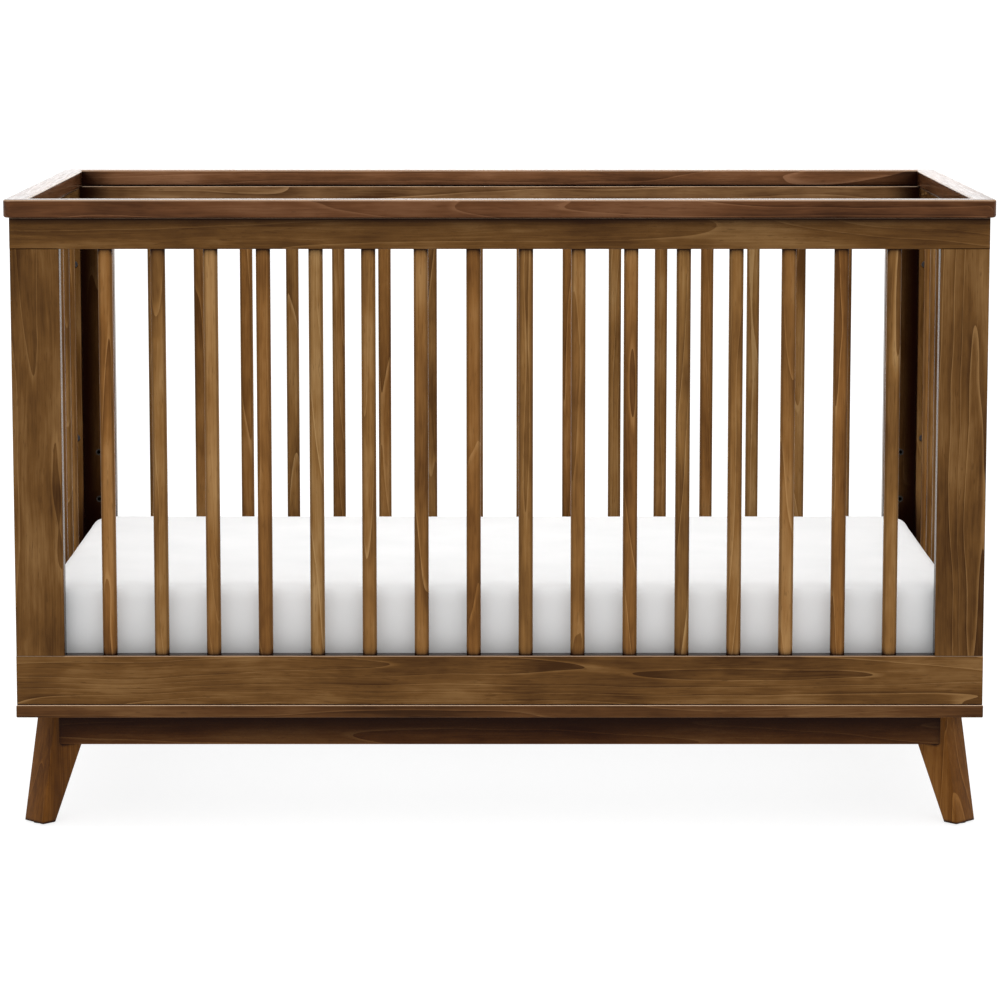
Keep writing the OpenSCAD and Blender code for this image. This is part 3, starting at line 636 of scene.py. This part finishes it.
def make_caps():
    """A frame of four mitred boards with rounded corners, made as one ring and then cut at the mitres."""
    low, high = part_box("front_cap")
    half_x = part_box("right_cap")[1].x
    half_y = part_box("back_cap")[1].y
    bottom, top = low.z, high.z
    ring = add_block("cap_ring", (-half_x, -half_y, bottom), (half_x, half_y, top))
    bevel_edges(ring, upright, CAP_CORNER_RADIUS, CAP_CORNER_SEGMENTS)
    opening = add_block("cap_opening", (-half_x + CAP_WIDTH, -half_y + CAP_WIDTH, bottom - MM),
                        (half_x - CAP_WIDTH, half_y - CAP_WIDTH, top + MM))
    cutter = ring.modifiers.new("opening", "BOOLEAN")
    cutter.operation = "DIFFERENCE"
    cutter.solver = "EXACT"
    cutter.object = opening
    apply_modifiers(ring)
    bpy.data.objects.remove(opening)

    def on_rim(a, b):
        """True for a level edge on the outer or the inner outline of the ring."""
        if abs(a.z - b.z) > NEAR:
            return False
        middle = (a + b) / 2
        outer = min(half_x - abs(middle.x), half_y - abs(middle.y))
        corner = (abs(middle.x) - (half_x - CAP_CORNER_RADIUS), abs(middle.y) - (half_y - CAP_CORNER_RADIUS))
        round_rim = min(corner) > 0 and abs(math.hypot(*corner) - CAP_CORNER_RADIUS) < 0.3 * MM
        inner_x = abs(abs(middle.x) - (half_x - CAP_WIDTH)) < NEAR and abs(a.x - b.x) < NEAR
        inner_y = abs(abs(middle.y) - (half_y - CAP_WIDTH)) < NEAR and abs(a.y - b.y) < NEAR
        return outer < NEAR or round_rim or inner_x or inner_y

    bevel_edges(ring, on_rim, CAP_ARRIS, CAP_ARRIS_SEGMENTS)
    # The back cap takes the lighter walnut: painted light
    for node, side, finish in (("front_cap", -1, CAP_WALNUT[X]), ("back_cap", 1, BACK_CAP_LIT_WALNUT[X]),
                               ("left_cap", -1, CAP_WALNUT[Y]), ("right_cap", 1, CAP_WALNUT[Y])):
        piece = copy_of(ring, node + "_board")
        along_x = node in ("front_cap", "back_cap")
        for end in (-1, 1):
            signs = (end, side) if along_x else (side, end)
            corner = Vector((half_x * signs[0], half_y * signs[1], top))
            normal = Vector((end, -side, 0) if along_x else (-side, end, 0)).normalized()
            make_active(piece)
            bpy.ops.object.mode_set(mode="EDIT")
            bpy.ops.mesh.select_all(action="SELECT")
            bpy.ops.mesh.bisect(plane_co=corner - normal * MITRE_GAP, plane_no=normal,
                                use_fill=True, clear_outer=True)
            leave_edit()
        smooth(piece, 40)
        fit_out(piece, node, finish)
    bpy.data.objects.remove(ring)


# ---------- Slats ----------

def make_slats():
    """One slat with rounded edges and a tenon at each end, copied into every place."""
    groups = {node: solid_boxes(node) for node in NODES if node.endswith("_slats")}
    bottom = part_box("front_left_stile")[0].z
    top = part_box("front_left_stile")[1].z
    low, high = groups["front_slats"][0]
    width, depth = high.x - low.x, high.y - low.y
    slat = add_block("slat", (-width / 2, -depth / 2, bottom), (width / 2, depth / 2, top))
    bevel_edges(slat, upright, SLAT_EDGE_RADIUS, SLAT_EDGE_SEGMENTS)
    for side in (-1, 1):
        pick_faces(slat, lambda middle, normal: normal.z * side > 0.9)
        bpy.ops.mesh.inset(thickness=TENON_INSET)
        size = (TENON_SIZE[0] / (width - 2 * TENON_INSET), TENON_SIZE[1] / (depth - 2 * TENON_INSET), 1)
        end = (0, 0, top if side > 0 else bottom)
        bpy.ops.transform.resize(value=size, center_override=end)
        bpy.ops.mesh.extrude_region_move(TRANSFORM_OT_translate={"value": (0, 0, side * TENON_LENGTH)})
        leave_edit()
    smooth(slat, 40)
    made = 0
    for node, boxes in groups.items():
        for count, (low, high) in enumerate(boxes, 1):
            piece = copy_of(slat, f"{node[:-1]}_{count:02d}")
            if node.endswith("end_slats"):
                turn(piece, math.pi / 2)
            middle = (low + high) / 2
            shift(piece, (middle.x, middle.y, 0))
            made += 1
            paint(piece, "tone", SLAT_TONE_SPREAD * (math.modf(made * GOLDEN)[0] - 0.5))
            paint(piece, "warmth", math.modf(made * GOLDEN * WARMTH_STRIDE)[0])
            fit_out(piece, node, SLAT_WALNUT)
    bpy.data.objects.remove(slat)


# ---------- Legs ----------

def make_legs():
    """A tapered leg across each corner, leaning in towards its foot, with soft arrises."""
    low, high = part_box("back_right_leg")
    bottom, top = low.z, high.z
    reach = LEG_WIDTH / 2 / math.sqrt(2)
    foot_edge = Vector((high.x - reach, high.y - reach, 0))
    start = bottom * math.tan(LEG_OUTER_ANGLE)
    foot_edge += Vector((start, start, 0)) / math.sqrt(2)
    outer = [height * math.tan(LEG_OUTER_ANGLE) for height in (bottom, top)]
    inner = [LEG_FOOT + height * math.tan(LEG_INNER_ANGLE) for height in (bottom, top)]
    leg = add_block("leg", (-inner[0], -LEG_WIDTH / 2, bottom), (-outer[0], LEG_WIDTH / 2, top))
    pick_faces(leg, lambda middle, normal: normal.z > 0.9)
    middle_low = -(inner[0] + outer[0]) / 2
    middle_top = -(inner[1] + outer[1]) / 2
    bpy.ops.transform.resize(value=((inner[1] - outer[1]) / (inner[0] - outer[0]), 1, 1),
                             center_override=(middle_low, 0, top))
    bpy.ops.transform.translate(value=(middle_top - middle_low, 0, 0))
    leave_edit()
    bevel_edges(leg, upright, LEG_ARRIS, LEG_ARRIS_SEGMENTS)
    bevel_edges(leg, lambda a, b: max(a.z, b.z) < bottom + 0.1 * MM, LEG_FOOT_ARRIS, LEG_FOOT_SEGMENTS)
    smooth(leg, 40)
    for node, angle, sides in (("back_right_leg", 45, (1, 1)), ("back_left_leg", 135, (-1, 1)),
                               ("front_left_leg", 225, (-1, -1)), ("front_right_leg", 315, (1, -1))):
        piece = copy_of(leg, node + "_shaped")
        turn(piece, math.radians(angle))
        shift(piece, (foot_edge.x * sides[0], foot_edge.y * sides[1], 0))
        fit_out(piece, node, LEG_WALNUT)
    bpy.data.objects.remove(leg)


# ---------- Deck springs ----------

def make_springs():
    """One coiled spring, turned out of a ring of wire, copied to both ends of the deck."""
    boxes = solid_boxes("deck_springs")
    low, high = boxes[0]
    length, radius = high.x - low.x, (high.z - low.z) / 2 - SPRING_WIRE
    deselect_all()
    bpy.ops.mesh.primitive_circle_add(vertices=SPRING_WIRE_SIDES, radius=SPRING_WIRE, location=(0, 0, radius),
                                      rotation=(math.pi / 2, 0, 0))
    spring = bpy.context.object
    spring.name = spring.data.name = "spring"
    settle(spring)
    coil = spring.modifiers.new("coil", "SCREW")
    coil.axis = "X"
    coil.angle = math.tau * SPRING_TURNS
    coil.screw_offset = length - 2 * SPRING_WIRE
    coil.iterations = 1
    coil.steps = coil.render_steps = SPRING_STEPS * SPRING_TURNS
    apply_modifiers(spring)
    make_active(spring)
    bpy.ops.object.mode_set(mode="EDIT")
    bpy.ops.mesh.select_all(action="SELECT")
    bpy.ops.mesh.remove_doubles(threshold=0.001 * MM)
    bpy.ops.mesh.fill_holes(sides=SPRING_WIRE_SIDES)
    leave_edit()
    face_outwards(spring)
    smooth(spring, 60)
    start = min(v.co.x for v in spring.data.vertices)
    for count, (low, high) in enumerate(boxes, 1):
        piece = copy_of(spring, f"deck_spring_{count:02d}")
        middle = (low + high) / 2
        shift(piece, (low.x - start, middle.y, middle.z))
        fit_out(piece, "deck_springs", SPRING_STEEL, "mattress_support")
    bpy.data.objects.remove(spring)


# ---------- Mattress ----------

def swell(piece, low, high):
    """Lets the cover swell as cloth under pressure, moves no point far, and keeps it in its box."""
    start = np.array([v.co for v in piece.data.vertices])
    cloth = piece.modifiers.new("cloth", "CLOTH")
    cloth.settings.use_pressure = True
    cloth.settings.uniform_pressure_force = COVER_PRESSURE
    cloth.settings.tension_stiffness = COVER_STIFFNESS
    cloth.settings.compression_stiffness = COVER_STIFFNESS
    cloth.settings.effector_weights.gravity = 0.0
    cloth.collision_settings.use_collision = False
    cloth.point_cache.frame_start = 1
    cloth.point_cache.frame_end = COVER_FRAMES
    scene = bpy.context.scene
    for step in range(1, COVER_FRAMES + 1):
        scene.frame_set(step)
    apply_modifiers(piece)
    scene.frame_set(1)
    moved = np.array([v.co for v in piece.data.vertices]) - start
    far = np.linalg.norm(moved, axis=1, keepdims=True)
    moved *= np.minimum(1.0, MATTRESS_SWELL / np.maximum(far, 1e-9))
    placed = np.clip(start + moved, np.array(low), np.array(high))
    piece.data.vertices.foreach_set("co", placed.ravel())
    piece.data.update()


def make_mattress():
    """A foam mattress in a white cover, with rounded edges and slightly full faces."""
    low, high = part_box("mattress")
    shy = Vector((MATTRESS_SHY,) * 3)
    pad = add_block("mattress_pad", low + Vector((shy.x, shy.y, 0)), high - shy)
    bevel_edges(pad, upright, MATTRESS_CORNER - MATTRESS_SHY, MATTRESS_CORNER_SEGMENTS)
    bevel_edges(pad, level, MATTRESS_EDGE, MATTRESS_EDGE_SEGMENTS)
    make_active(pad)
    pad.data.remesh_voxel_size = MATTRESS_VOXEL
    bpy.ops.object.voxel_remesh()
    swell(pad, low, high)
    soften = pad.modifiers.new("soften", "SMOOTH")
    soften.factor = 0.5
    soften.iterations = COVER_SMOOTHING
    finer = pad.modifiers.new("finer", "SUBSURF")
    finer.levels = finer.render_levels = 1
    apply_modifiers(pad)
    make_active(pad)
    bpy.ops.object.shade_smooth()
    fit_out(pad, "mattress", CLOTH, "mattress")


# ---------- Floor, light and camera ----------

def make_floor():
    deselect_all()
    bpy.ops.mesh.primitive_plane_add(size=FLOOR_SIZE, location=(0, 0, 0))
    floor = bpy.context.object
    floor.name = "floor"
    floor.data.materials.append(pale_floor())


def make_light():
    """Soft studio light: a glow overhead, a bright wall behind, a dim room in front and a lamp above."""
    world = bpy.data.worlds.new("studio")
    bpy.context.scene.world = world
    world.use_nodes = True
    tree = world.node_tree
    tree.nodes.clear()
    place = tree.nodes.new("ShaderNodeTexCoord").outputs["Generated"]

    def join(operation, first, second):
        node = tree.nodes.new("ShaderNodeMath")
        node.operation = operation
        for socket, value in zip(node.inputs, (first, second)):
            if hasattr(value, "is_linked"):
                tree.links.new(value, socket)
            else:
                socket.default_value = value
        return node.outputs[0]

    strength = ROOM_GLOW
    for direction, power, glow in GLOWS:
        node = tree.nodes.new("ShaderNodeVectorMath")
        node.operation = "DOT_PRODUCT"
        tree.links.new(place, node.inputs[0])
        node.inputs[1].default_value = Vector(direction).normalized()
        share = join("POWER", join("MAXIMUM", node.outputs["Value"], 0.0), power)
        strength = join("ADD", join("MULTIPLY", share, glow), strength)

    lit = tree.nodes.new("ShaderNodeBackground")
    tree.links.new(strength, lit.inputs["Strength"])
    lit.inputs["Color"].default_value = (1, 1, 1, 1)
    seen = tree.nodes.new("ShaderNodeBackground")
    seen.inputs["Color"].default_value = (1, 1, 1, 1)
    seen.inputs["Strength"].default_value = SEEN_WHITE
    path = tree.nodes.new("ShaderNodeLightPath")
    choose = tree.nodes.new("ShaderNodeMixShader")
    output = tree.nodes.new("ShaderNodeOutputWorld")
    tree.links.new(path.outputs["Is Camera Ray"], choose.inputs["Fac"])
    tree.links.new(lit.outputs[0], choose.inputs[1])
    tree.links.new(seen.outputs[0], choose.inputs[2])
    tree.links.new(choose.outputs[0], output.inputs["Surface"])

    deselect_all()
    bpy.ops.object.light_add(type="SUN", location=(0, -2, 4), rotation=(math.radians(SUN_TILT), 0, 0))
    key = bpy.context.object
    key.data.energy = SUN_STRENGTH
    key.data.angle = math.radians(SUN_WIDTH)


def make_camera():
    deselect_all()
    bpy.ops.object.camera_add(location=CAMERA_PLACE, rotation=(math.radians(90 - CAMERA_TILT), 0, 0))
    camera = bpy.context.object
    camera.data.lens = CAMERA_LENS
    camera.data.sensor_width = CAMERA_SENSOR
    camera.data.shift_x, camera.data.shift_y = CAMERA_SHIFT
    bpy.context.scene.camera = camera


finish_cad_nodes()
make_caps()
make_slats()
make_legs()
make_springs()
make_mattress()
make_floor()
make_light()
make_camera()
bpy.context.scene.view_settings.view_transform = "Standard"
